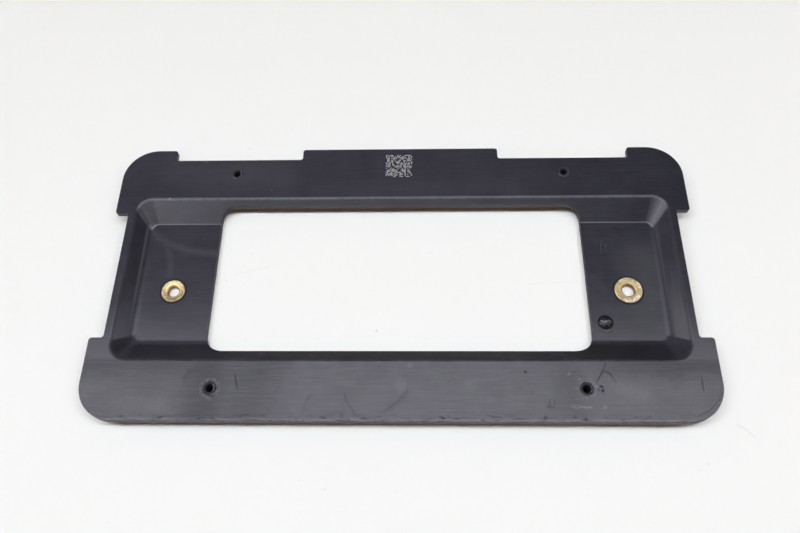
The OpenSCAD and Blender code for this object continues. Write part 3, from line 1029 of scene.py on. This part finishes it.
COOL = (0.93, 0.92, 1.0)
KEY_COLOUR = (0.892, 0.968, 1.0)
# what the rays see beyond the table: the camera, mirrored rays, and all others
BACKDROP = (0.8, 0.8, 0.79)
ROOM = (0.8, 0.78, 1.0)
WARM_FILL = (1.0, 0.6, 0.4)
BACKDROP_LEVEL = 1
FILL_LEVEL = 0.18
# the room is brighter on the left: its level where the mirrored ray's x is low and high
ROOM_X = (0.08, 0.3)
ROOM_LEVEL = (0.64, 0.17)


def softbox(name, at, target, size, radiance, colour=COOL, seen="glossy"):
    """A soft rectangular lamp of the given radiance, facing target. Lengths in metres."""
    data = bpy.data.lights.new(name, "AREA")
    data.shape = "RECTANGLE"
    data.size, data.size_y = size
    data.energy = radiance * math.pi * size[0] * size[1]
    data.color = colour
    lamp = bpy.data.objects.new(name, data)
    lamp.location = at
    lamp.rotation_mode = "QUATERNION"
    lamp.rotation_quaternion = (Vector(at) - Vector(target)).to_track_quat("Z", "Y")
    lamp.visible_glossy = seen == "glossy"
    lamp.visible_diffuse = seen == "diffuse"
    bpy.context.scene.collection.objects.link(lamp)


# The key lamp lights the scene and throws the tight shadow. The panel, the walls and the
# cards are only what the satin surfaces mirror.
softbox("key", (0, -0.14, 1.6), (0, -0.14, 0), (3.0, 0.38), 9.7, KEY_COLOUR, "diffuse")
softbox("panel", (0, 0.16, 1.2), (0, 0.16, 0), (1.9, 0.52), 4.35)
softbox("left_wall", (-1.1, -0.2, 0.3), (0, -0.2, 0.3), (1.4, 0.6), 2.9)
softbox("right_wall", (1.1, -0.3, 0.3), (0, -0.3, 0.3), (1.5, 0.6), 2.3)
softbox("left_top", (-1.12, 0.45, 0.93), (0, 0.45, 0.93), (0.9, 0.62), 1.0)
softbox("right_top", (1.12, 0.45, 0.93), (0, 0.45, 0.93), (0.9, 0.62), 1.4)

# A row of cards hangs face down in front of the part, for the upper corners and the upper
# slope of the dish. Each one hangs a little lower than the one before it.
CARD_Z = 1.31
CARD_STEP = 0.008
# name, sides in x, sides in y, radiance
CARDS = (
    ("ceiling", (-0.45, 1.3), (-0.86, -0.1), 1.9),
    ("ceiling_left", (-1.15, -0.6), (-0.9, -0.1), 5.3),
    ("ceiling_mid", (-0.6, -0.22), (-0.86, -0.3), 1.8),
    ("ceiling_far", (-2.3, -1.15), (-0.6, 0.4), 3.9),
    ("front_left", (-1.15, -0.62), (-1.3, -0.9), 2.6),
    ("front_mid", (-0.62, 0.2), (-1.3, -0.86), 0.95),
    ("front_right", (0.2, 0.5), (-1.3, -0.86), 0.6),
)
for order, (name, wide, deep, radiance) in enumerate(CARDS):
    middle = (sum(wide) / 2, sum(deep) / 2)
    card_z = CARD_Z - CARD_STEP * order
    size = (wide[1] - wide[0], deep[1] - deep[0])
    softbox(name, (*middle, card_z), (*middle, 0), size, radiance)


def add_world():
    """Surroundings that differ for camera rays, mirrored rays and all others."""
    world = bpy.data.worlds.new("studio")
    world.use_nodes = True
    tree = world.node_tree
    sky = tree.nodes["Background"]
    path = tree.nodes.new("ShaderNodeLightPath")

    def by_ray(kind, otherwise, seen, colour=False):
        """A value that rays of one kind see, and another for the rest."""
        node = tree.nodes.new("ShaderNodeMix")
        if colour:
            node.data_type = "RGBA"
        first, second, result = COLOUR_SOCKETS if colour else NUMBER_SOCKETS
        tree.links.new(path.outputs[kind], node.inputs[0])
        for socket, value in ((node.inputs[first], otherwise), (node.inputs[second], seen)):
            if isinstance(value, bpy.types.NodeSocket):
                tree.links.new(value, socket)
            else:
                socket.default_value = (*value, 1) if colour else value
        return node.outputs[result]

    tint = by_ray("Is Glossy Ray", WARM_FILL, ROOM, colour=True)
    tint = by_ray("Is Camera Ray", tint, BACKDROP, colour=True)
    tree.links.new(tint, sky.inputs["Color"])

    axes = tree.nodes.new("ShaderNodeSeparateXYZ")
    tree.links.new(tree.nodes.new("ShaderNodeTexCoord").outputs["Generated"], axes.inputs[0])
    room = tree.nodes.new("ShaderNodeMapRange")
    for bound, numbers in (("From", ROOM_X), ("To", ROOM_LEVEL)):
        room.inputs[bound + " Min"].default_value = numbers[0]
        room.inputs[bound + " Max"].default_value = numbers[1]
    tree.links.new(axes.outputs["X"], room.inputs["Value"])
    level = by_ray("Is Glossy Ray", FILL_LEVEL, room.outputs[0])
    level = by_ray("Is Camera Ray", level, BACKDROP_LEVEL)
    tree.links.new(level, sky.inputs["Strength"])
    bpy.context.scene.world = world


add_world()
bpy.context.scene.view_settings.view_transform = "Standard"
